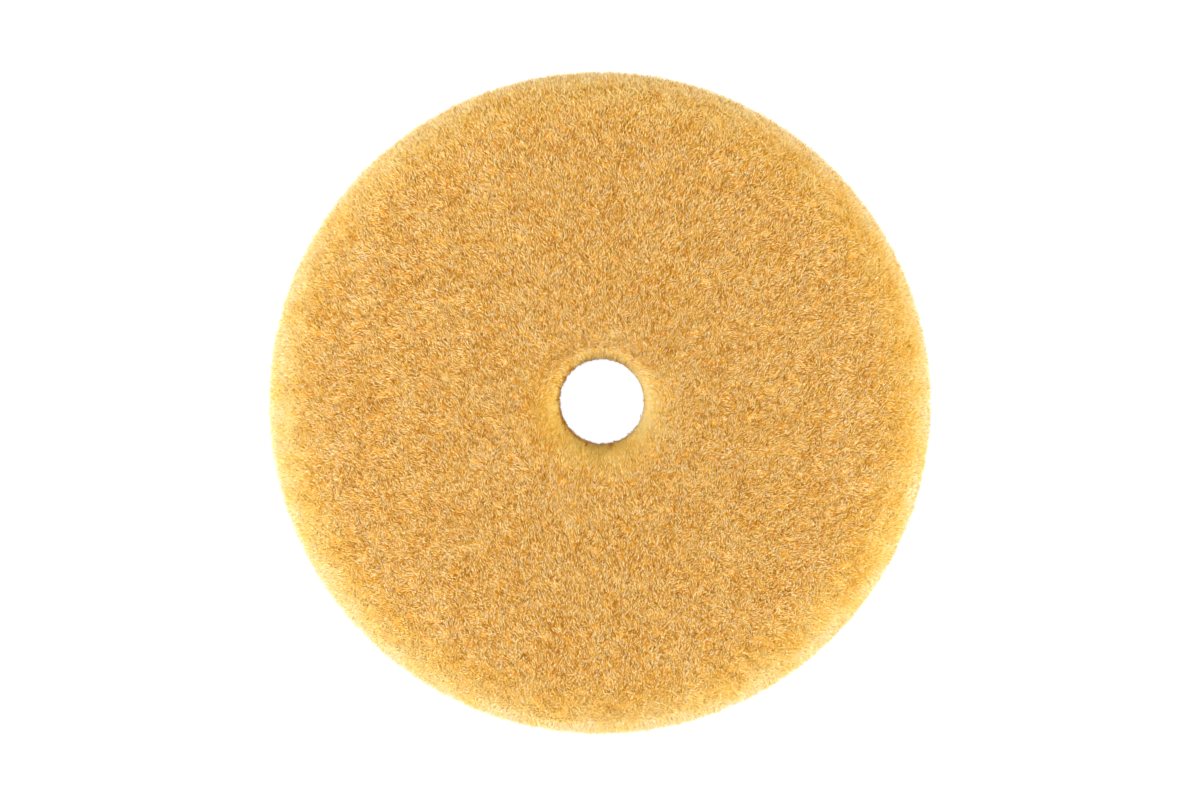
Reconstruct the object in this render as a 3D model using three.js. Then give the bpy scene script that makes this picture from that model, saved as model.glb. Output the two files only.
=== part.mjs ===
// Lambswool polishing pad for a rotary or dual-action machine, in millimetres, +Z up.
//
// The pad is a glued stack of round layers on one axis, with a centring hole through all of them.
// It lies on its back: the loop nap that grips the backing plate is at z = 0, the wool faces up,
// and the origin is the centre of the rear face. Every layer is a closed ring of its own, turned
// about the axis from a (radius, height) outline.

import * as THREE from "three";

// Driving dimensions
const WOOL_RADIUS = 80;
const HIDE_RADIUS = 75;
const FOAM_RADIUS = 74;
const LOOP_RADIUS = 73.5;
const HOLE_RADIUS = 10.8;

// Layer thicknesses, from the rear face upwards
const LOOP_NAP = 1.0;
const LOOP_CLOTH = 0.5;
const BOND_FILM = 0.3;
const FOAM = 7.0;
const HIDE = 1.5;
const PILE = 16.4;

// The pile rolls over at both edges and its skirt hangs past the rim of the hide
const SHOULDER = { across: 11, down: 9.6 };
const LIP = { across: 8.6, down: 8.4 };
const LIP_OVERHANG = 0.6;
const CROWN = 0.5;
const SKIRT_DROP = 4.0;
const SKIRT_TUCK = { across: 3.6, up: 8.2 };
const RIM_GAP = 0.3;

const SIDES = 72;
const ARC_STEPS = 7;
const ARC_STEPS_SMALL = 5;

const QUARTER = Math.PI / 2;

// Points on a quarter of an ellipse about (cx, cz), from angle `from` to angle `to`.
function quarterArc(cx, cz, across, up, from, to, steps) {
  const points = [];
  for (let i = 0; i <= steps; i += 1) {
    const angle = from + ((to - from) * i) / steps;
    points.push(new THREE.Vector2(cx + across * Math.cos(angle), cz + up * Math.sin(angle)));
  }
  return points;
}

// A closed outline in (radius, height), anticlockwise, turned into a solid ring about +Z.
function turned(name, outline, material) {
  const geometry = new THREE.LatheGeometry([...outline, outline[0].clone()], SIDES);
  geometry.rotateX(QUARTER);
  const mesh = new THREE.Mesh(geometry, material);
  mesh.name = name;
  return mesh;
}

// A flat round layer with a plain cut edge and the centring hole.
function flatLayer(name, radius, bottom, thickness, material) {
  const top = bottom + thickness;
  const outline = [
    new THREE.Vector2(HOLE_RADIUS, bottom),
    new THREE.Vector2(radius, bottom),
    new THREE.Vector2(radius, top),
    new THREE.Vector2(HOLE_RADIUS, top),
  ];
  return turned(name, outline, material);
}

// The pile: flat where it grows from the hide, a skirt past the hide's rim, a rounded shoulder,
// a barely crowned face, and a lip that rolls down into the centring hole, just past its edge.
function woolPile(bottom, material) {
  const top = bottom + PILE;
  const skirtInner = HIDE_RADIUS + RIM_GAP;
  const skirtBottom = bottom - SKIRT_DROP;
  const shoulderStart = WOOL_RADIUS - SHOULDER.across;
  const shoulderBase = top - CROWN - SHOULDER.down;
  const throat = HOLE_RADIUS - LIP_OVERHANG;
  const tuckStart = WOOL_RADIUS - SKIRT_TUCK.across;
  const outline = [
    new THREE.Vector2(throat, bottom),
    new THREE.Vector2(skirtInner, bottom),
    new THREE.Vector2(skirtInner, skirtBottom),
    ...quarterArc(tuckStart, skirtBottom + SKIRT_TUCK.up, SKIRT_TUCK.across, SKIRT_TUCK.up,
      -QUARTER, 0, ARC_STEPS_SMALL),
    ...quarterArc(shoulderStart, shoulderBase, SHOULDER.across, SHOULDER.down,
      0, QUARTER, ARC_STEPS),
    new THREE.Vector2((throat + LIP.across + shoulderStart) / 2, top),
    ...quarterArc(throat + LIP.across, top - CROWN - LIP.down, LIP.across, LIP.down,
      QUARTER, 2 * QUARTER, ARC_STEPS),
  ];
  return turned("wool_pile", outline, material);
}

const materials = {
  wool: new THREE.MeshStandardMaterial({ color: "#dfab5a", roughness: 0.95, metalness: 0 }),
  hide: new THREE.MeshStandardMaterial({ color: "#d9b98a", roughness: 0.8, metalness: 0 }),
  film: new THREE.MeshStandardMaterial({ color: "#cfc7b4", roughness: 0.35, metalness: 0 }),
  foam: new THREE.MeshStandardMaterial({ color: "#2b2a29", roughness: 0.9, metalness: 0 }),
  cloth: new THREE.MeshStandardMaterial({ color: "#3a3a3c", roughness: 0.85, metalness: 0 }),
  nap: new THREE.MeshStandardMaterial({ color: "#454548", roughness: 0.95, metalness: 0 }),
};

// The flat layers in order, each resting on the one before it.
const stack = [
  ["loop_nap", LOOP_RADIUS, LOOP_NAP, materials.nap],
  ["loop_base_cloth", LOOP_RADIUS, LOOP_CLOTH, materials.cloth],
  ["rear_bond_film", LOOP_RADIUS, BOND_FILM, materials.film],
  ["foam_interlayer", FOAM_RADIUS, FOAM, materials.foam],
  ["front_bond_film", FOAM_RADIUS, BOND_FILM, materials.film],
  ["sheepskin_hide", HIDE_RADIUS, HIDE, materials.hide],
];

const pad = new THREE.Group();
let height = 0;
for (const [name, radius, thickness, material] of stack) {
  pad.add(flatLayer(name, radius, height, thickness, material));
  height += thickness;
}
pad.add(woolPile(height, materials.wool));

export default pad;
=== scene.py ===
"""The looks of a lambswool polishing pad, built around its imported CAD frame.

Everything is in metres in the frame's own space: +Z up, the loop back on the floor at z = 0 and the
wool facing up. The fleece is real geometry: a lumpy core under about three hundred thousand fine,
closed strands that lean with the comb, droop over the outer edge and dip into the centring hole,
with loose fibre ends past the rim.
"""

import math

import bpy
import numpy as np
from mathutils import Matrix, Vector, noise


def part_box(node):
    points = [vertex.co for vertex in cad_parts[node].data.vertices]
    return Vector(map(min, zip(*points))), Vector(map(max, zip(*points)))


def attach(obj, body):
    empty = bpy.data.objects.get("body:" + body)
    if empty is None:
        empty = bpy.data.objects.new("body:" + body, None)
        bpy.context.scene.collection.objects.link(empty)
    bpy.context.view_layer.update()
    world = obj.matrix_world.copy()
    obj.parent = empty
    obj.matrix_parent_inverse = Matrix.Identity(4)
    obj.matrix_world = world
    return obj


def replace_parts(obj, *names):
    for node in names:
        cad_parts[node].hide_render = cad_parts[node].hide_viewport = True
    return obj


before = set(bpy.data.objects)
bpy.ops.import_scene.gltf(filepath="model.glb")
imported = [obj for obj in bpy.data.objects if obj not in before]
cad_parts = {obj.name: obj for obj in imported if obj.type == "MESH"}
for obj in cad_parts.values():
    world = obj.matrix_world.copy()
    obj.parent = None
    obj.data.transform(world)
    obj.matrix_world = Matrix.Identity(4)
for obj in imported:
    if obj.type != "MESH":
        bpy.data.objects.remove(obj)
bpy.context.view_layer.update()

MM = 0.001
TURN = 2 * math.pi
GOLDEN_SHARE = 0.6180339887

# ---------------------------------------------------------------- places taken from the frame

wool_low, wool_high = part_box("wool_pile")
hide_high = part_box("sheepskin_hide")[1]
WOOL_RADIUS = wool_high.x
WOOL_TOP = wool_high.z
SKIRT_BOTTOM = wool_low.z
HIDE_RADIUS = hide_high.x
HIDE_TOP = hide_high.z

# Shape of the fleece, as the CAD solid has it; the frame gives only each node's box
HOLE_RADIUS = 10.8 * MM
THROAT_RADIUS = 10.2 * MM
SHOULDER_ACROSS, SHOULDER_DOWN = 11 * MM, 9.6 * MM
LIP_ACROSS, LIP_DOWN = 8.6 * MM, 8.4 * MM
TUCK_ACROSS, TUCK_UP = 3.6 * MM, 8.2 * MM
CROWN = 0.5 * MM
RIM_GAP = 0.3 * MM

# Camera: almost straight down, from a little towards the top right
LENS = 100.0
CAMERA_DISTANCE = 0.8066
CAMERA_TILT = math.radians(3.2)
CAMERA_SIDE = math.radians(34)
AIM = Vector((0.00035, 0.0009, 0.016))


# ---------------------------------------------------------------- mesh helpers

def make_piece(name, verts, faces, material, uv=None):
    """A smooth mesh object, riding on the pad, from arrays of points and of equal-sided faces."""
    mesh = bpy.data.meshes.new(name)
    sides = faces.shape[1]
    mesh.vertices.add(len(verts))
    mesh.vertices.foreach_set("co", np.ascontiguousarray(verts, np.float32).ravel())
    mesh.loops.add(faces.size)
    mesh.loops.foreach_set("vertex_index", np.ascontiguousarray(faces, np.int32).ravel())
    mesh.polygons.add(len(faces))
    mesh.polygons.foreach_set("loop_start", np.arange(0, faces.size, sides, dtype=np.int32))
    mesh.polygons.foreach_set("use_smooth", np.ones(len(faces), bool))
    if uv is not None:
        layer = mesh.uv_layers.new(name=STRAND_UV)
        layer.data.foreach_set("uv", np.ascontiguousarray(uv[faces.ravel()], np.float32).ravel())
    mesh.update(calc_edges=True)
    mesh.materials.append(material)
    piece = bpy.data.objects.new(name, mesh)
    bpy.context.scene.collection.objects.link(piece)
    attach(piece, "root")
    return piece


def ripple(points, wavelength, seed, waves=14):
    """A smooth random field of about unit size, from plane waves in random directions."""
    rng = np.random.default_rng(seed)
    ways = rng.normal(size=(waves, points.shape[1]))
    ways *= (TURN / wavelength * rng.uniform(0.7, 1.4, waves) / np.linalg.norm(ways, axis=1))[:, None]
    phases = rng.uniform(0, TURN, waves)
    return np.sin(points @ ways.T + phases).sum(axis=1) * math.sqrt(2 / waves)


def lathe_faces(rows, columns):
    """Quads of a closed outline of `rows` points turned through `columns` steps."""
    row = np.arange(rows)[:, None]
    column = np.arange(columns)[None, :]
    up, on = (row + 1) % rows, (column + 1) % columns
    quads = np.stack([row * columns + column, row * columns + on,
                      up * columns + on, up * columns + column], axis=-1)
    return quads.reshape(-1, 4)


def lathe_points(radius, height, columns):
    """The points of the outline (radius, height) at each angle, row by row."""
    angle = np.arange(columns) * TURN / columns
    around = np.stack([np.cos(angle), np.sin(angle)], axis=-1)
    flat = radius[:, None, None] * around[None]
    tall = np.broadcast_to(height[:, None, None], (len(radius), columns, 1))
    return np.concatenate([flat, tall], axis=-1).reshape(-1, 3)


def resample(points, step):
    """A polyline with points about `step` apart, its corners kept."""
    out = []
    for a, b in zip(points[:-1], points[1:]):
        count = max(1, round(float(np.linalg.norm(b - a)) / step))
        out.append(a + (b - a) * (np.arange(count) / count)[:, None])
    out.append(points[-1:])
    return np.concatenate(out)


def quarter_arc(centre, across, up, start, end, steps=24):
    angle = np.linspace(start, end, steps + 1)
    return np.stack([centre[0] + across * np.cos(angle), centre[1] + up * np.sin(angle)], axis=-1)


# ---------------------------------------------------------------- materials

STRAND_UV = "OFBake"


def new_material(name, roughness, sheen=0.0):
    """A material with one Principled shader; returns it with its nodes, its links and the shader."""
    material = bpy.data.materials.new(name)
    material.use_nodes = True
    nodes, links = material.node_tree.nodes, material.node_tree.links
    shader = nodes["Principled BSDF"]
    shader.inputs["Roughness"].default_value = roughness
    shader.inputs["Sheen Weight"].default_value = sheen
    return material, nodes, links, shader


def ramp(nodes, stops):
    """A colour ramp through (place, (r, g, b)) stops, in linear colour."""
    node = nodes.new("ShaderNodeValToRGB")
    band = node.color_ramp.elements
    while len(band) < len(stops):
        band.new(0.5)
    for element, (place, colour) in zip(band, stops):
        element.position = place
        element.color = (*colour, 1)
    return node


def texture(nodes, links, kind, scale, **values):
    """A 3-D texture node in object space, `scale` repeats to the metre."""
    node = nodes.new(kind)
    place = nodes.new("ShaderNodeTexCoord")
    links.new(place.outputs["Object"], node.inputs["Vector"])
    node.inputs["Scale"].default_value = scale
    for socket, value in values.items():
        node.inputs[socket].default_value = value
    return node


def mix_colour(nodes, links, blend, share, first, second):
    node = nodes.new("ShaderNodeMix")
    node.data_type = "RGBA"
    node.blend_type = blend
    for socket, value in ((node.inputs[0], share), (node.inputs[6], first), (node.inputs[7], second)):
        if isinstance(value, bpy.types.NodeSocket):
            links.new(value, socket)
        else:
            socket.default_value = value
    return node.outputs[2]


def bumped(nodes, links, shader, height, strength, distance):
    bump = nodes.new("ShaderNodeBump")
    bump.inputs["Strength"].default_value = strength
    bump.inputs["Distance"].default_value = distance
    links.new(height, bump.inputs["Height"])
    links.new(bump.outputs[0], shader.inputs["Normal"])


def strand_material(name, roughness, tones, along, through_share):
    """Fibre. U of the strand map runs from root to tip and V is the strand's tone; the `along` ramp
    darkens strands by U, partly as painted shade.
    """
    material, nodes, links, shader = new_material(name, roughness)
    shader.inputs["Specular IOR Level"].default_value = 0.15
    where = nodes.new("ShaderNodeUVMap")
    where.uv_map = STRAND_UV
    split = nodes.new("ShaderNodeSeparateXYZ")
    links.new(where.outputs["UV"], split.inputs[0])
    tone, fade = ramp(nodes, tones), ramp(nodes, along)
    links.new(split.outputs["Y"], tone.inputs[0])
    links.new(split.outputs["X"], fade.inputs[0])
    colour = mix_colour(nodes, links, "MULTIPLY", 1.0, tone.outputs[0], fade.outputs[0])
    links.new(colour, shader.inputs["Base Color"])
    through = nodes.new("ShaderNodeBsdfTranslucent")
    links.new(colour, through.inputs["Color"])
    blend = nodes.new("ShaderNodeMixShader")
    blend.inputs[0].default_value = through_share
    links.new(shader.outputs[0], blend.inputs[1])
    links.new(through.outputs[0], blend.inputs[2])
    links.new(blend.outputs[0], nodes["Material Output"].inputs["Surface"])
    return material


def wool_material():
    """Golden wool: amber where a strand's tone is dark, cream where it is light; darker towards each
    root, partly painted shade deep among the strands and partly the wool's own paler tips.
    """
    tones = [
        (0.0, (0.57, 0.205, 0.006)),
        (0.3, (0.84, 0.47, 0.052)),
        (0.6, (0.94, 0.695, 0.185)),
        (1.0, (0.945, 0.832, 0.525)),
    ]
    # Root to tip: darker roots, partly painted shade deep in the fleece and partly the wool's own paler
    # tips
    along = [(0.0, (0.68, 0.44, 0.15)), (0.5, (0.93, 0.84, 0.66)), (1.0, (1.0, 1.0, 1.0))]
    return strand_material("golden_wool", 0.5, tones, along, 0.22)


def core_material():
    """The matted wool below the strands: deeper amber as painted shade for the gaps between the
    strands, with fine fibre in colour and relief.
    """
    material, nodes, links, shader = new_material("matted_wool", roughness=0.9, sheen=0.2)
    patches = texture(nodes, links, "ShaderNodeTexNoise", 420.0, Detail=4.0)
    fibre = texture(nodes, links, "ShaderNodeTexNoise", 2600.0, Detail=3.0, Distortion=2.5)
    # Deeper amber than the strands, as painted shade where the core shows between them
    depth = ramp(nodes, [(0.3, (0.76, 0.36, 0.035)), (0.7, (0.90, 0.54, 0.10))])
    fine = ramp(nodes, [(0.3, (0.6, 0.5, 0.4)), (0.7, (1.0, 1.0, 1.0))])
    links.new(patches.outputs[0], depth.inputs[0])
    links.new(fibre.outputs[0], fine.inputs[0])
    colour = mix_colour(nodes, links, "MULTIPLY", 0.8, depth.outputs[0], fine.outputs[0])
    links.new(colour, shader.inputs["Base Color"])
    bumped(nodes, links, shader, fibre.outputs[0], 0.8, 0.4 * MM)
    return material


# ---------------------------------------------------------------- the fleece

# Strands
STRANDS_PER_MM2 = 12.5
STRAND_DEPTH = 1.3 * MM
STRAND_RADIUS = 0.084 * MM
STRAND_LEAN = 1.1 * MM
STRAND_BEND = 0.08 * MM
RING_PLACES = np.array([0.0, 0.55])
RING_WIDTHS = np.array([0.8, 1.0])
CORE_INSET = 1.1 * MM
CORE_COLUMNS = 420
PIECES = 24

# The outline's direction is averaged over SMOOTHING, and steep walls carry fewer strands
SMOOTHING = 2.0 * MM
STEEP_SLOPE = 0.75
STEEP_SHARE = 0.6

# Loose fibre ends past the rim, and how far the lip leans over one side of the hole
FLYAWAYS = 12000
FLYAWAY_PLACES = np.array([0.0, 0.4, 0.72])
FLYAWAY_WIDTHS = np.array([1.0, 0.9, 0.7])
FLYAWAY_RADIUS = 0.038 * MM
LIP_DRIFT = np.array([0.76, 0.53, 0.0]) * MM

# Directions round the pad, from +X, that the wool's painted light and shade turn on
TOP_SIDE = math.radians(97)
PAINTED_SHADE_SIDE = math.radians(35)
PAINTED_GLOW_SIDE = math.radians(45)
LIP_LIGHT_SIDE = math.radians(-2)
LIP_DARK_SIDE = math.radians(-10)


def wool_outline():
    """The fleece's outer outline as (radius, height) points, from the hole's throat to the skirt."""
    shoulder = WOOL_RADIUS - SHOULDER_ACROSS
    lip = THROAT_RADIUS + LIP_ACROSS
    tuck = WOOL_RADIUS - TUCK_ACROSS
    right = math.pi / 2
    lip_arc = quarter_arc((lip, WOOL_TOP - CROWN - LIP_DOWN), LIP_ACROSS, LIP_DOWN, 2 * right, right)
    over = quarter_arc((shoulder, WOOL_TOP - CROWN - SHOULDER_DOWN), SHOULDER_ACROSS, SHOULDER_DOWN,
                       right, 0)
    under = quarter_arc((tuck, SKIRT_BOTTOM + TUCK_UP), TUCK_ACROSS, TUCK_UP, 0, -right)
    middle = np.array([[(lip + shoulder) / 2, WOOL_TOP]])
    throat = np.array([[THROAT_RADIUS, HIDE_TOP]])
    return np.concatenate([throat, lip_arc, middle, over, under])


class Surface:
    """The fleece's outer surface: a point, its normal and its two tangents for each (run, angle)."""

    def __init__(self, outline, step=0.25 * MM):
        self.line = resample(outline, step)
        along = np.linalg.norm(np.diff(self.line, axis=0), axis=1)
        self.run = np.concatenate([[0], np.cumsum(along)])
        way = np.gradient(self.line, self.run, axis=0)
        width = SMOOTHING / step
        half = 24
        kernel = np.exp(-0.5 * (np.arange(-half, half + 1) / (width / 2)) ** 2)
        kernel = kernel / kernel.sum()
        padded = np.pad(way, ((half, half), (0, 0)), mode="edge")
        way = np.stack([np.convolve(padded[:, k], kernel, "valid") for k in (0, 1)], axis=-1)
        self.way = way / np.linalg.norm(way, axis=1)[:, None]
        crowd = np.where(self.way[:, 1] < -STEEP_SLOPE, STEEP_SHARE, 1.0)
        band = self.line[:, 0] * np.gradient(self.run) * crowd
        self.area = np.concatenate([[0], np.cumsum((band[1:] + band[:-1]) / 2)])

    def spread(self, count, rng):
        """Evenly spread places: the distance along the outline and the angle."""
        share = (np.arange(count) + rng.uniform(-0.5, 0.5, count)) / count
        run = np.interp(share * self.area[-1], self.area, self.run)
        angle = np.arange(count) * TURN * GOLDEN_SHARE + rng.normal(0, 0.004, count)
        return run, angle % TURN

    def at(self, run, angle):
        """The point, its outward normal, and its tangents down the outline and round the pad."""
        r, z = (np.interp(run, self.run, self.line[:, k]) for k in (0, 1))
        wr, wz = (np.interp(run, self.run, self.way[:, k]) for k in (0, 1))
        cos, sin = np.cos(angle), np.sin(angle)
        point = np.stack([r * cos, r * sin, z], axis=-1)
        down = np.stack([wr * cos, wr * sin, wz], axis=-1)
        out = np.stack([-wz * cos, -wz * sin, wr], axis=-1)
        side = np.stack([-sin, cos, np.zeros_like(cos)], axis=-1)
        return point, out, down, side


def rise(value, start, width):
    """0 up to `start`, then a straight climb to 1 over `width`."""
    return np.clip((value - start) / width, 0, 1)


def ebb(value, end, width):
    """1 at first, then a straight fall over `width` to 0 at `end`."""
    return np.clip((end - value) / width, 0, 1)


def unit(vectors):
    return vectors / np.maximum(np.linalg.norm(vectors, axis=-1, keepdims=True), 1e-12)


def comb_direction(point, out, down, wander):
    """Which way the tips lie: away from the centre line across the face, down at both edges."""
    x = point[:, 0] / WOOL_RADIUS
    angle = math.radians(90) - math.radians(45) * np.clip(1.8 * x, -1, 1) + wander
    face = np.stack([np.cos(angle), np.sin(angle), np.zeros_like(angle)], axis=-1)
    steep = ebb(out[:, 2], 0.93, 0.5)[:, None]
    in_hole = np.hypot(point[:, 0], point[:, 1]) < THROAT_RADIUS + LIP_ACROSS
    fall = np.where(in_hole, -1.0, 1.0)[:, None] * down
    mixed = face * (1 - 0.8 * steep) + fall * steep
    mixed -= out * (mixed * out).sum(axis=1, keepdims=True)
    return unit(mixed)


def strand_points(surface, rng):
    """Every strand's centre line (strand, ring, xyz), width, tone, bend plane and painted root shade.
    """
    count = int(STRANDS_PER_MM2 * TURN * surface.area[-1] / MM ** 2)
    run, angle = surface.spread(count, rng)
    point, out, down, _ = surface.at(run, angle)
    edge = np.hypot(point[:, 0], point[:, 1])

    # Zones, each from 0 to 1: the rim, the lip and wall of the hole, where strands differ less in
    # tone (calm), the outermost fringe, and where roots are paler as a painted glow (glow)
    rim = rise(edge, 0.88 * WOOL_RADIUS, 0.10 * WOOL_RADIUS)
    lip = ebb(edge, THROAT_RADIUS + 1.3 * LIP_ACROSS, 1.1 * LIP_ACROSS)
    smooth = np.maximum(rim, lip)
    # The side round TOP_SIDE, where the rim keeps more painted root shade
    top = np.clip(np.cos(angle - TOP_SIDE), 0, 1)
    calm = rise(edge, 0.80 * WOOL_RADIUS, 0.14 * WOOL_RADIUS)
    calm = np.maximum(calm * (1 - 0.45 * top), lip * (1 - 0.6 * top))
    fringe = rise(edge, 0.952 * WOOL_RADIUS, 0.045 * WOOL_RADIUS)
    fringe = fringe * np.clip(out[:, 2] / 0.25, 0, 1)
    glow = rise(edge, 0.68 * WOOL_RADIUS, 0.28 * WOOL_RADIUS)
    throat = edge < THROAT_RADIUS + 0.5 * MM
    wall = throat & (point[:, 2] < WOOL_TOP - CROWN - LIP_DOWN)

    # Lie and level of the tips
    wander = 0.35 * ripple(point, 7 * MM, 11) + 0.22 * ripple(point, 2.2 * MM, 14)
    wander += rng.normal(0, 0.35, count) * (1 + 1.2 * rim)
    way = comb_direction(point, out, down, wander)
    across = np.cross(out, way)
    reach = STRAND_LEAN * rng.uniform(0.6, 1.3, count)
    lift = 0.07 * MM * ripple(point, 5 * MM, 12) + 0.05 * MM * ripple(point, 1.8 * MM, 15)
    level = lift * (1 - 0.6 * smooth) - np.abs(rng.normal(0, 0.22 * MM, count)) * (1 - rim)
    level += (rim + 0.4 * wall) * rng.normal(0, 0.36 * MM, count) - 0.34 * MM * rim
    level += throat * 0.06 * MM * ripple(point[:, :2], 1.7 * MM, 18)
    turn = rng.uniform(0, TURN, count)
    bend = STRAND_BEND * rng.uniform(0.2, 1.5, count)

    # Centre lines, bent from root to tip
    t = np.append(RING_PLACES, 1.0)[None, :, None]
    swing = turn[:, None, None] + TURN * 0.8 * t
    line = point[:, None] + out[:, None] * (level[:, None, None] - STRAND_DEPTH * (1 - t) ** 1.6)
    line = line + way[:, None] * reach[:, None, None] * (t ** 1.3 - 0.5)
    sway = np.cos(swing) * across[:, None] + 0.5 * np.sin(swing) * out[:, None]
    line = line + bend[:, None, None] * np.minimum(1, 2 * t) * sway
    width = STRAND_RADIUS * rng.uniform(0.65, 1.25, count) * (1 - 0.2 * smooth)

    # Darker patches of strands in the throat, and painted shade on all of the wool low in the hole,
    # where it meets the hide
    tick = throat * np.clip(2 * ripple(point[:, :2], 2.4 * MM, 17) - 1.6, 0, 1)
    low = wall * ebb(point[:, 2], HIDE_TOP + 4.5 * MM, 2.5 * MM)
    tick = np.maximum(0.8 * tick * (1 - low), low)

    # Tone, from amber at 0 to cream at 1: mottled on the face; painted light and shade make it paler at
    # the rim on one side of the pad, cream at the fringe as a painted glow, darker under the skirt and
    # down the hole
    tone = 0.5 + 0.04 * ripple(point, 12 * MM, 13) + 0.025 * ripple(point, 2.5 * MM, 16)
    # Painted light and shade at the rim: darker on one side of the pad, paler with a painted glow on
    # the other
    pale = 0.14 - 0.21 * np.cos(angle - PAINTED_SHADE_SIDE)
    pale += 0.08 * np.clip(np.cos(angle - PAINTED_GLOW_SIDE), 0, 1) ** 4
    # Where the rim turns under, its strands are darker as painted shade
    skirt = rim * ebb(out[:, 2], 0.35, 0.35)
    tone += rng.normal(0, 0.49, count) * (1 - 0.78 * calm) + pale * rim - 0.22 * skirt
    # A painted glow at the outermost fringe, stronger on one side of the pad
    tone += fringe * (0.26 + 0.18 * np.cos(angle - PAINTED_GLOW_SIDE))
    tone += rim * 0.09 * ripple(point, 8 * MM, 19)
    # Painted light and shade round the lip and near the hole: lighter towards one side, darker towards
    # another
    tone += lip * (0.02 + 0.16 * np.cos(angle - LIP_LIGHT_SIDE))
    near = ebb(edge, THROAT_RADIUS + 5.5 * MM, 4 * MM)
    tone += near * (0.04 - 0.03 * np.cos(angle - LIP_DARK_SIDE))
    # Painted shade down the hole's wall, and the darker throat patches
    tone -= 0.12 * wall + 0.5 * tick
    line += drift(line)
    # Painted root shade: less at the rim as a painted glow and on the lip as painted light, more on the
    # top side of the rim as painted shade, full in the darker throat patches
    shade = 1 - np.maximum(0.78 * glow * (1 - 0.7 * top), lip) * (1 - tick)
    return line, width, np.clip(tone, 0.02, 0.98), across, shade


def drift(points):
    """How far the wool near the hole has moved to one side."""
    edge = np.hypot(points[..., 0], points[..., 1])
    near = ebb(edge, THROAT_RADIUS + 1.6 * LIP_ACROSS, 1.6 * LIP_ACROSS)
    return LIP_DRIFT * (near * near * (3 - 2 * near))[..., None]


def flyaway_points(surface, rng):
    """Fine loose ends that stand out from the shoulder and the rim, some of them curled."""
    shoulder = surface.run[np.argmax(surface.line[:, 0] > 0.9 * WOOL_RADIUS)]
    run = rng.uniform(shoulder, surface.run[-1] - 4 * MM, FLYAWAYS)
    angle = rng.uniform(0, TURN, FLYAWAYS)
    point, out, down, side = surface.at(run, angle)
    way = 0.35 * down + side * rng.normal(0, 1, (FLYAWAYS, 1)) + 0.5 * rng.normal(size=(FLYAWAYS, 3))
    way = unit(way - out * (way * out).sum(axis=1, keepdims=True))
    across = np.cross(out, way)
    stand = np.minimum(rng.gamma(2.0, 0.20, FLYAWAYS), 1.7) * MM
    reach = rng.uniform(0.6, 2.3, FLYAWAYS) * MM
    curl = rng.uniform(0.05, 0.30, FLYAWAYS) * MM
    turn = rng.uniform(0, TURN, FLYAWAYS)
    t = np.append(FLYAWAY_PLACES, 1.0)[None, :, None]
    swing = turn[:, None, None] + TURN * 1.1 * t
    line = point[:, None] + out[:, None] * (stand[:, None, None] * t ** 0.8 - 0.5 * MM * (1 - t))
    line = line + way[:, None] * reach[:, None, None] * (t ** 1.5 - 0.3)
    sway = np.cos(swing) * across[:, None] + np.sin(swing) * way[:, None]
    line = line + curl[:, None, None] * t * sway
    width = FLYAWAY_RADIUS * rng.uniform(0.7, 1.3, FLYAWAYS)
    tone = np.clip(rng.normal(0.72, 0.12, FLYAWAYS), 0.02, 0.98)
    return line, width, tone, across, np.full(FLYAWAYS, 0.3)


def strand_mesh(line, width, tone, across, shade, places=RING_PLACES, widths=RING_WIDTHS):
    """Three-sided closed strands with a pointed tip: points, triangles and each point's map place.

    A strand with less painted root shade starts further along the map, so that its root is less dark.
    """
    count, rings = line.shape[0], line.shape[1] - 1
    way = unit(np.gradient(line, axis=1))[:, :rings]
    first = unit(across[:, None] - way * (across[:, None] * way).sum(axis=-1, keepdims=True))
    second = np.cross(way, first)
    corners = []
    for k in range(3):
        spoke = math.cos(TURN * k / 3) * first + math.sin(TURN * k / 3) * second
        corners.append(line[:, :rings] + spoke * (width[:, None] * widths)[..., None])
    body = np.stack(corners, axis=2).reshape(count, rings * 3, 3)
    verts = np.concatenate([body, line[:, rings:]], axis=1)

    pattern = [[0, 2, 1]]
    for ring in range(rings - 1):
        for k in range(3):
            a, b = ring * 3 + k, ring * 3 + (k + 1) % 3
            pattern += [[a, b, b + 3], [a, b + 3, a + 3]]
    last = (rings - 1) * 3
    pattern += [[last + k, last + (k + 1) % 3, rings * 3] for k in range(3)]
    size = rings * 3 + 1
    faces = (np.array(pattern)[None] + (np.arange(count) * size)[:, None, None]).reshape(-1, 3)
    place = np.append(np.repeat(places, 3), 1.0)
    along = 1 - (1 - place) * shade[:, None]
    uv = np.stack([along, np.repeat(tone[:, None], size, axis=1)], axis=-1)
    return verts.reshape(-1, 3), faces, uv.reshape(-1, 2)


def wool_strands(material):
    """The strands, cut into wedges of the pad so that no piece grows too large."""
    rng = np.random.default_rng(7)
    surface = Surface(wool_outline())
    line, width, tone, across, shade = strand_points(surface, rng)
    heading = np.arctan2(line[:, 0, 1], line[:, 0, 0]) % TURN
    wedge = (heading / TURN * PIECES).astype(int) % PIECES
    for number in range(PIECES):
        mine = wedge == number
        verts, faces, uv = strand_mesh(line[mine], width[mine], tone[mine], across[mine], shade[mine])
        make_piece(f"wool_strands_{number + 1:02d}", verts, faces, material, uv)
    loose = strand_mesh(*flyaway_points(surface, rng), FLYAWAY_PLACES, FLYAWAY_WIDTHS)
    make_piece("wool_flyaways", loose[0], loose[1], material, loose[2])


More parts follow.
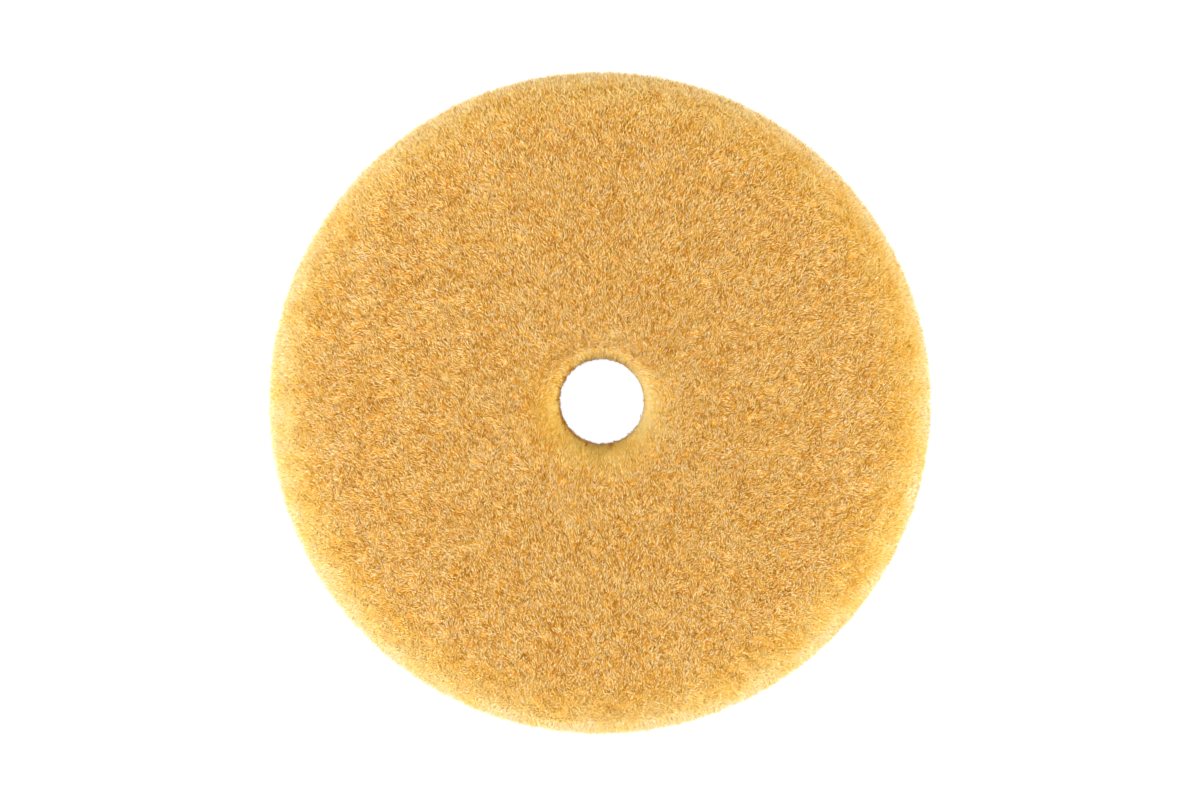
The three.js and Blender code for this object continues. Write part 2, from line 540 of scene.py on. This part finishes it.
def wool_core(material):
    """The lumpy body of matted wool below the strands' tips. It stands for the CAD pile."""
    surface = Surface(wool_outline())
    inset, columns = CORE_INSET, CORE_COLUMNS
    normal = np.stack([-surface.way[:, 1], surface.way[:, 0]], axis=-1)
    shell = surface.line - normal * inset
    shell[:, 1] = np.maximum(shell[:, 1], SKIRT_BOTTOM + inset)
    keep = shell[:, 1] > HIDE_TOP
    keep |= shell[:, 0] > HIDE_RADIUS + RIM_GAP
    shell = shell[keep][::3]
    inner = np.array([[HIDE_RADIUS + RIM_GAP, SKIRT_BOTTOM + inset],
                      [HIDE_RADIUS + RIM_GAP, HIDE_TOP],
                      [THROAT_RADIUS + inset, HIDE_TOP]])
    outline = np.concatenate([shell, inner])
    verts = lathe_points(outline[:, 0], outline[:, 1], columns)
    lumps = 0.16 * MM * ripple(verts, 3.2 * MM, 21) + 0.16 * MM * ripple(verts, 1.4 * MM, 22)
    rows = len(outline)
    outward = np.gradient(shell, axis=0)
    outward = np.stack([-outward[:, 1], outward[:, 0]], axis=-1)
    outward = np.concatenate([outward / np.linalg.norm(outward, axis=1)[:, None], np.zeros((3, 2))])
    angle = np.arange(columns) * TURN / columns
    push = np.stack([outward[:, None, 0] * np.cos(angle), outward[:, None, 0] * np.sin(angle),
                     np.broadcast_to(outward[:, None, 1], (rows, columns))], axis=-1).reshape(-1, 3)
    verts += push * lumps[:, None]
    verts += drift(verts)
    piece = make_piece("wool_core", verts, lathe_faces(rows, columns), material)
    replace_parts(piece, "wool_pile")


# ---------------------------------------------------------------- the layers behind the fleece

LAYER_STEP = 0.25 * MM
GLUE_STEP = 0.1 * MM

# Size and depth of the foam's cells, the radius where its two pieces meet, and each one's columns
FOAM_CELL = 0.75 * MM
FOAM_PIT = 0.32 * MM
FOAM_MIDDLE = 40 * MM
FOAM_OUTER_COLUMNS = 1500
FOAM_INNER_COLUMNS = 280

LOOPS = 14000
LOOP_RADIUS = 0.06 * MM


def hide_material():
    """Suede side of tanned sheepskin: tan, mottled, with a fine nap."""
    material, nodes, links, shader = new_material("sheepskin_suede", roughness=0.85, sheen=0.2)
    mottle = texture(nodes, links, "ShaderNodeTexNoise", 260.0, Detail=5.0)
    nap = texture(nodes, links, "ShaderNodeTexNoise", 3200.0, Detail=2.0)
    tan = ramp(nodes, [(0.3, (0.52, 0.27, 0.09)), (0.7, (0.78, 0.50, 0.22))])
    links.new(mottle.outputs[0], tan.inputs[0])
    fleck = ramp(nodes, [(0.3, (0.75, 0.7, 0.65)), (0.7, (1, 1, 1))])
    links.new(nap.outputs[0], fleck.inputs[0])
    colour = mix_colour(nodes, links, "MULTIPLY", 0.7, tan.outputs[0], fleck.outputs[0])
    links.new(colour, shader.inputs["Base Color"])
    bumped(nodes, links, shader, nap.outputs[0], 0.6, 0.2 * MM)
    return material


def film_material():
    """Set hot-melt glue: amber, slightly glossy, uneven."""
    material, nodes, links, shader = new_material("bond_film", roughness=0.35)
    flow = texture(nodes, links, "ShaderNodeTexNoise", 600.0, Detail=3.0)
    amber = ramp(nodes, [(0.3, (0.42, 0.22, 0.08)), (0.7, (0.62, 0.38, 0.17))])
    links.new(flow.outputs[0], amber.inputs[0])
    links.new(amber.outputs[0], shader.inputs["Base Color"])
    bumped(nodes, links, shader, flow.outputs[0], 0.5, 0.2 * MM)
    return material


def foam_material():
    """Open-cell foam: charcoal, darker inside its cells as painted shade, paler on the cell edges as a
    painted highlight, and paler in patches.
    """
    material, nodes, links, shader = new_material("open_cell_foam", roughness=0.8)
    cells = texture(nodes, links, "ShaderNodeTexVoronoi", 1 / FOAM_CELL)
    cells.feature = "DISTANCE_TO_EDGE"
    # Painted shade inside the cells and a painted highlight on their edges
    depth = ramp(nodes, [(0.0, (0.090, 0.074, 0.062)), (0.12, (0.034, 0.028, 0.024)),
                         (0.4, (0.012, 0.010, 0.009))])
    links.new(cells.outputs["Distance"], depth.inputs[0])
    paler_patches = texture(nodes, links, "ShaderNodeTexNoise", 300.0, Detail=4.0)
    pale = ramp(nodes, [(0.35, (0.8, 0.8, 0.8)), (0.75, (1.5, 1.4, 1.25))])
    links.new(paler_patches.outputs[0], pale.inputs[0])
    colour = mix_colour(nodes, links, "MULTIPLY", 1.0, depth.outputs[0], pale.outputs[0])
    links.new(colour, shader.inputs["Base Color"])
    bumped(nodes, links, shader, cells.outputs["Distance"], -0.4, 0.3 * MM)
    return material


def cloth_material():
    """Knitted nylon base cloth: fine courses and ribs, dark grey."""
    material, nodes, links, shader = new_material("knitted_nylon", roughness=0.7, sheen=0.1)
    ribs = texture(nodes, links, "ShaderNodeTexWave", 260.0, Distortion=1.2)
    ribs.bands_direction = "X"
    courses = texture(nodes, links, "ShaderNodeTexWave", 330.0, Distortion=1.5)
    courses.bands_direction = "Y"
    knit = mix_colour(nodes, links, "MULTIPLY", 1.0, ribs.outputs["Color"], courses.outputs["Color"])
    grey = ramp(nodes, [(0.0, (0.014, 0.014, 0.016)), (0.6, (0.036, 0.036, 0.039)),
                        (1.0, (0.06, 0.06, 0.065))])
    links.new(knit, grey.inputs[0])
    links.new(grey.outputs[0], shader.inputs["Base Color"])
    bumped(nodes, links, shader, knit, 0.7, 0.3 * MM)
    return material


def nap_material():
    """Brushed nylon loops: charcoal with paler, slightly shiny strands, each loop darker where it meets
    the cloth as painted shade.
    """
    tones = [(0.0, (0.05, 0.05, 0.053)), (0.6, (0.13, 0.13, 0.137)), (1.0, (0.26, 0.26, 0.27))]
    # Darker at both ends of each loop, where it meets the cloth: painted shade
    along = [(0.0, (0.4, 0.4, 0.4)), (0.5, (1.0, 1.0, 1.0)), (1.0, (0.4, 0.4, 0.4))]
    return strand_material("brushed_nylon", 0.5, tones, along, 0.1)


def wall_heights(bottom, top, step, rounding=0.1 * MM):
    """Rows of a wall about `step` apart, and how far its slightly rounded corners draw each row in."""
    height = np.linspace(bottom, top, max(2, round((top - bottom) / step)) + 1)
    edge = np.minimum(height - bottom, top - height)
    return height, rounding * np.clip(1 - edge / (2 * rounding), 0, 1) ** 2


def ring_points(inner, outer, bottom, top, inner_step, outer_step, columns):
    """A flat ring's surface points, with rows `inner_step` and `outer_step` apart on its two walls."""
    far_rows, far_ease = wall_heights(bottom, top, outer_step)
    near_rows, near_ease = wall_heights(bottom, top, inner_step)
    across = np.linspace(0, 1, 7)[1:-1]
    inward = inner + (outer - inner) * across[::-1]
    rows = len(inward)
    radius = np.concatenate([outer - far_ease, inward, (inner + near_ease)[::-1], inward[::-1]])
    tall = np.concatenate([far_rows, np.full(rows, top), near_rows[::-1], np.full(rows, bottom)])
    return lathe_points(radius, tall, columns), lathe_faces(len(radius), columns)


def flat_layer(name, node, material, wobble, columns=480, step=LAYER_STEP):
    """A glued layer with cut edges that wander a little, in the place of its CAD node."""
    low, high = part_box(node)
    verts, faces = ring_points(HOLE_RADIUS, high.x, low.z, high.z, step, step, columns)
    radial = unit(verts * (1, 1, 0))
    far = np.hypot(verts[:, 0], verts[:, 1])
    at_edge = (far < HOLE_RADIUS * 1.1) | (far > high.x * 0.99)
    waver = wobble * (0.6 * ripple(verts, 7 * MM, 31) + 0.4 * ripple(verts, 1.3 * MM, 32))
    verts -= radial * (np.abs(waver) * at_edge * np.where(far > 0.5 * high.x, 1, -1))[:, None]
    piece = make_piece(name, verts, faces, material)
    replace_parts(piece, node)


def foam_cells(verts, walls):
    """Sinks each wall point into the open cell that it lies in; the struts between cells stay."""
    depth = np.zeros(len(verts))
    for i in np.flatnonzero(walls):
        near = noise.voronoi(Vector(verts[i] / FOAM_CELL))[0]
        depth[i] = min(1.0, (near[1] - near[0]) * 2.2)
    return FOAM_PIT * depth ** 0.7


def foam_layer(material):
    """The foam ring, as an outer and an inner half so that both walls have cells of one size."""
    low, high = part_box("foam_interlayer")
    fine, plain = 0.26 * MM, 2.5 * MM
    points, quads = ring_points(FOAM_MIDDLE, high.x, low.z, high.z, plain, fine,
                                FOAM_OUTER_COLUMNS)
    wall = np.hypot(points[:, 0], points[:, 1]) > high.x - 0.2 * MM
    points -= unit(points * (1, 1, 0)) * foam_cells(points, wall)[:, None]
    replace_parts(make_piece("foam_outer_cells", points, quads, material), "foam_interlayer")

    points, quads = ring_points(HOLE_RADIUS, FOAM_MIDDLE, low.z, high.z, fine, plain,
                                FOAM_INNER_COLUMNS)
    wall = np.hypot(points[:, 0], points[:, 1]) < HOLE_RADIUS + 0.2 * MM
    points += unit(points * (1, 1, 0)) * foam_cells(points, wall)[:, None]
    make_piece("foam_inner_cells", points, quads, material)


def loop_nap(material):
    """Small brushed loops that hang from the cloth down to the rear face, in two halves."""
    low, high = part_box("loop_nap")
    rng = np.random.default_rng(41)
    count = LOOPS
    share = (np.arange(count) + 0.5) / count
    radius = np.sqrt(HOLE_RADIUS ** 2 + share * ((high.x - 0.4 * MM) ** 2 - HOLE_RADIUS ** 2))
    angle = np.arange(count) * TURN * GOLDEN_SHARE % TURN
    centre = np.stack([radius * np.cos(angle), radius * np.sin(angle), np.full(count, high.z)], axis=-1)
    heading = rng.uniform(0, TURN, count)
    way = np.stack([np.cos(heading), np.sin(heading), np.zeros(count)], axis=-1)
    side = np.cross(way, (0, 0, 1.0))
    span = rng.uniform(0.5, 1.0, count) * MM
    drop = (high.z - low.z) * rng.uniform(0.65, 0.93, count)
    places = np.linspace(0, 1, 6)
    swing = math.pi * places[None, :, None]
    lean = rng.normal(0, 0.45 * MM, count)[:, None, None]
    line = centre[:, None] - way[:, None] * span[:, None, None] * np.cos(swing)
    line = line + side[:, None] * lean * np.sin(swing)
    line[..., 2] += 0.05 * MM - drop[:, None] * np.sin(swing[..., 0])
    width = LOOP_RADIUS * rng.uniform(0.7, 1.3, count)
    tone = np.clip(rng.normal(0.5, 0.24, count), 0.02, 0.98)
    for number in range(2):
        mine = (angle >= math.pi) == bool(number)
        verts, faces, uv = strand_mesh(line[mine], width[mine], tone[mine], side[mine],
                                       np.ones(mine.sum()), places[:-1], np.ones(len(places) - 1))
        piece = make_piece(f"loop_nap_{number + 1}", verts, faces, material, uv)
        if number == 0:
            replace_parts(piece, "loop_nap")


# ---------------------------------------------------------------- camera, lights and floor

def make_camera():
    """The photograph's view of the pad, with no depth of field."""
    data = bpy.data.cameras.new("camera")
    data.lens = LENS
    camera = bpy.data.objects.new("camera", data)
    bpy.context.scene.collection.objects.link(camera)
    level = math.sin(CAMERA_TILT)
    back = Vector((level * math.cos(CAMERA_SIDE), level * math.sin(CAMERA_SIDE), math.cos(CAMERA_TILT)))
    right = Vector((0, 1, 0)).cross(back).normalized()
    up = back.cross(right)
    turn = Matrix((right, up, back)).transposed()
    camera.matrix_world = Matrix.Translation(AIM + back * CAMERA_DISTANCE) @ turn.to_4x4()
    bpy.context.scene.camera = camera


def make_light(name, azimuth, elevation, distance, size, power):
    """A square soft light that faces the pad, from a compass angle (0 is +X) and a height angle."""
    data = bpy.data.lights.new(name, "AREA")
    data.shape = "SQUARE"
    data.size = size
    data.energy = power
    light = bpy.data.objects.new(name, data)
    a, e = math.radians(azimuth), math.radians(elevation)
    back = Vector((math.cos(a) * math.cos(e), math.sin(a) * math.cos(e), math.sin(e)))
    light.location = back * distance
    light.rotation_euler = (-back).to_track_quat("-Z", "Y").to_euler()
    bpy.context.scene.collection.objects.link(light)


def make_floor():
    """The floor: dull grey that glows evenly, so that it comes out plain white with hardly a shadow."""
    material = bpy.data.materials.new("light_table")
    material.use_nodes = True
    nodes = material.node_tree.nodes
    shader = nodes["Principled BSDF"]
    shader.inputs["Base Color"].default_value = (0.15, 0.15, 0.15, 1)
    shader.inputs["Roughness"].default_value = 0.9
    shader.inputs["Emission Color"].default_value = (1, 1, 1, 1)
    shader.inputs["Emission Strength"].default_value = 0.97
    half = 6.0
    mesh = bpy.data.meshes.new("floor")
    mesh.from_pydata([(-half, -half, 0), (half, -half, 0), (half, half, 0), (-half, half, 0)], [],
                     [(0, 1, 2, 3)])
    mesh.materials.append(material)
    floor = bpy.data.objects.new("floor", mesh)
    bpy.context.scene.collection.objects.link(floor)


def make_world():
    world = bpy.data.worlds.new("studio")
    world.use_nodes = True
    back = world.node_tree.nodes["Background"]
    back.inputs["Color"].default_value = (1, 1, 1, 1)
    back.inputs["Strength"].default_value = 0.87
    bpy.context.scene.world = world


bpy.context.scene.view_settings.view_transform = "Standard"
make_camera()
make_floor()
make_world()

# Azimuth, elevation, distance, size in metres and power in watts
make_light("key_left", 190, 27, 1.2, 1.0, 25)
make_light("fill_right", -4, 34, 1.2, 1.0, 20)
make_light("fill_front", 272, 50, 1.2, 1.0, 4)
make_light("fill_back", 88, 71, 1.2, 1.0, 6.8)

wool = wool_material()
wool_core(core_material())
wool_strands(wool)

flat_layer("hide_edge_cut", "sheepskin_hide", hide_material(), 0.12 * MM)
glue = film_material()
flat_layer("front_glue", "front_bond_film", glue, 0.25 * MM, step=GLUE_STEP)
flat_layer("rear_glue", "rear_bond_film", glue, 0.25 * MM, step=GLUE_STEP)
foam_layer(foam_material())
flat_layer("loop_cloth", "loop_base_cloth", cloth_material(), 0.1 * MM)
loop_nap(nap_material())
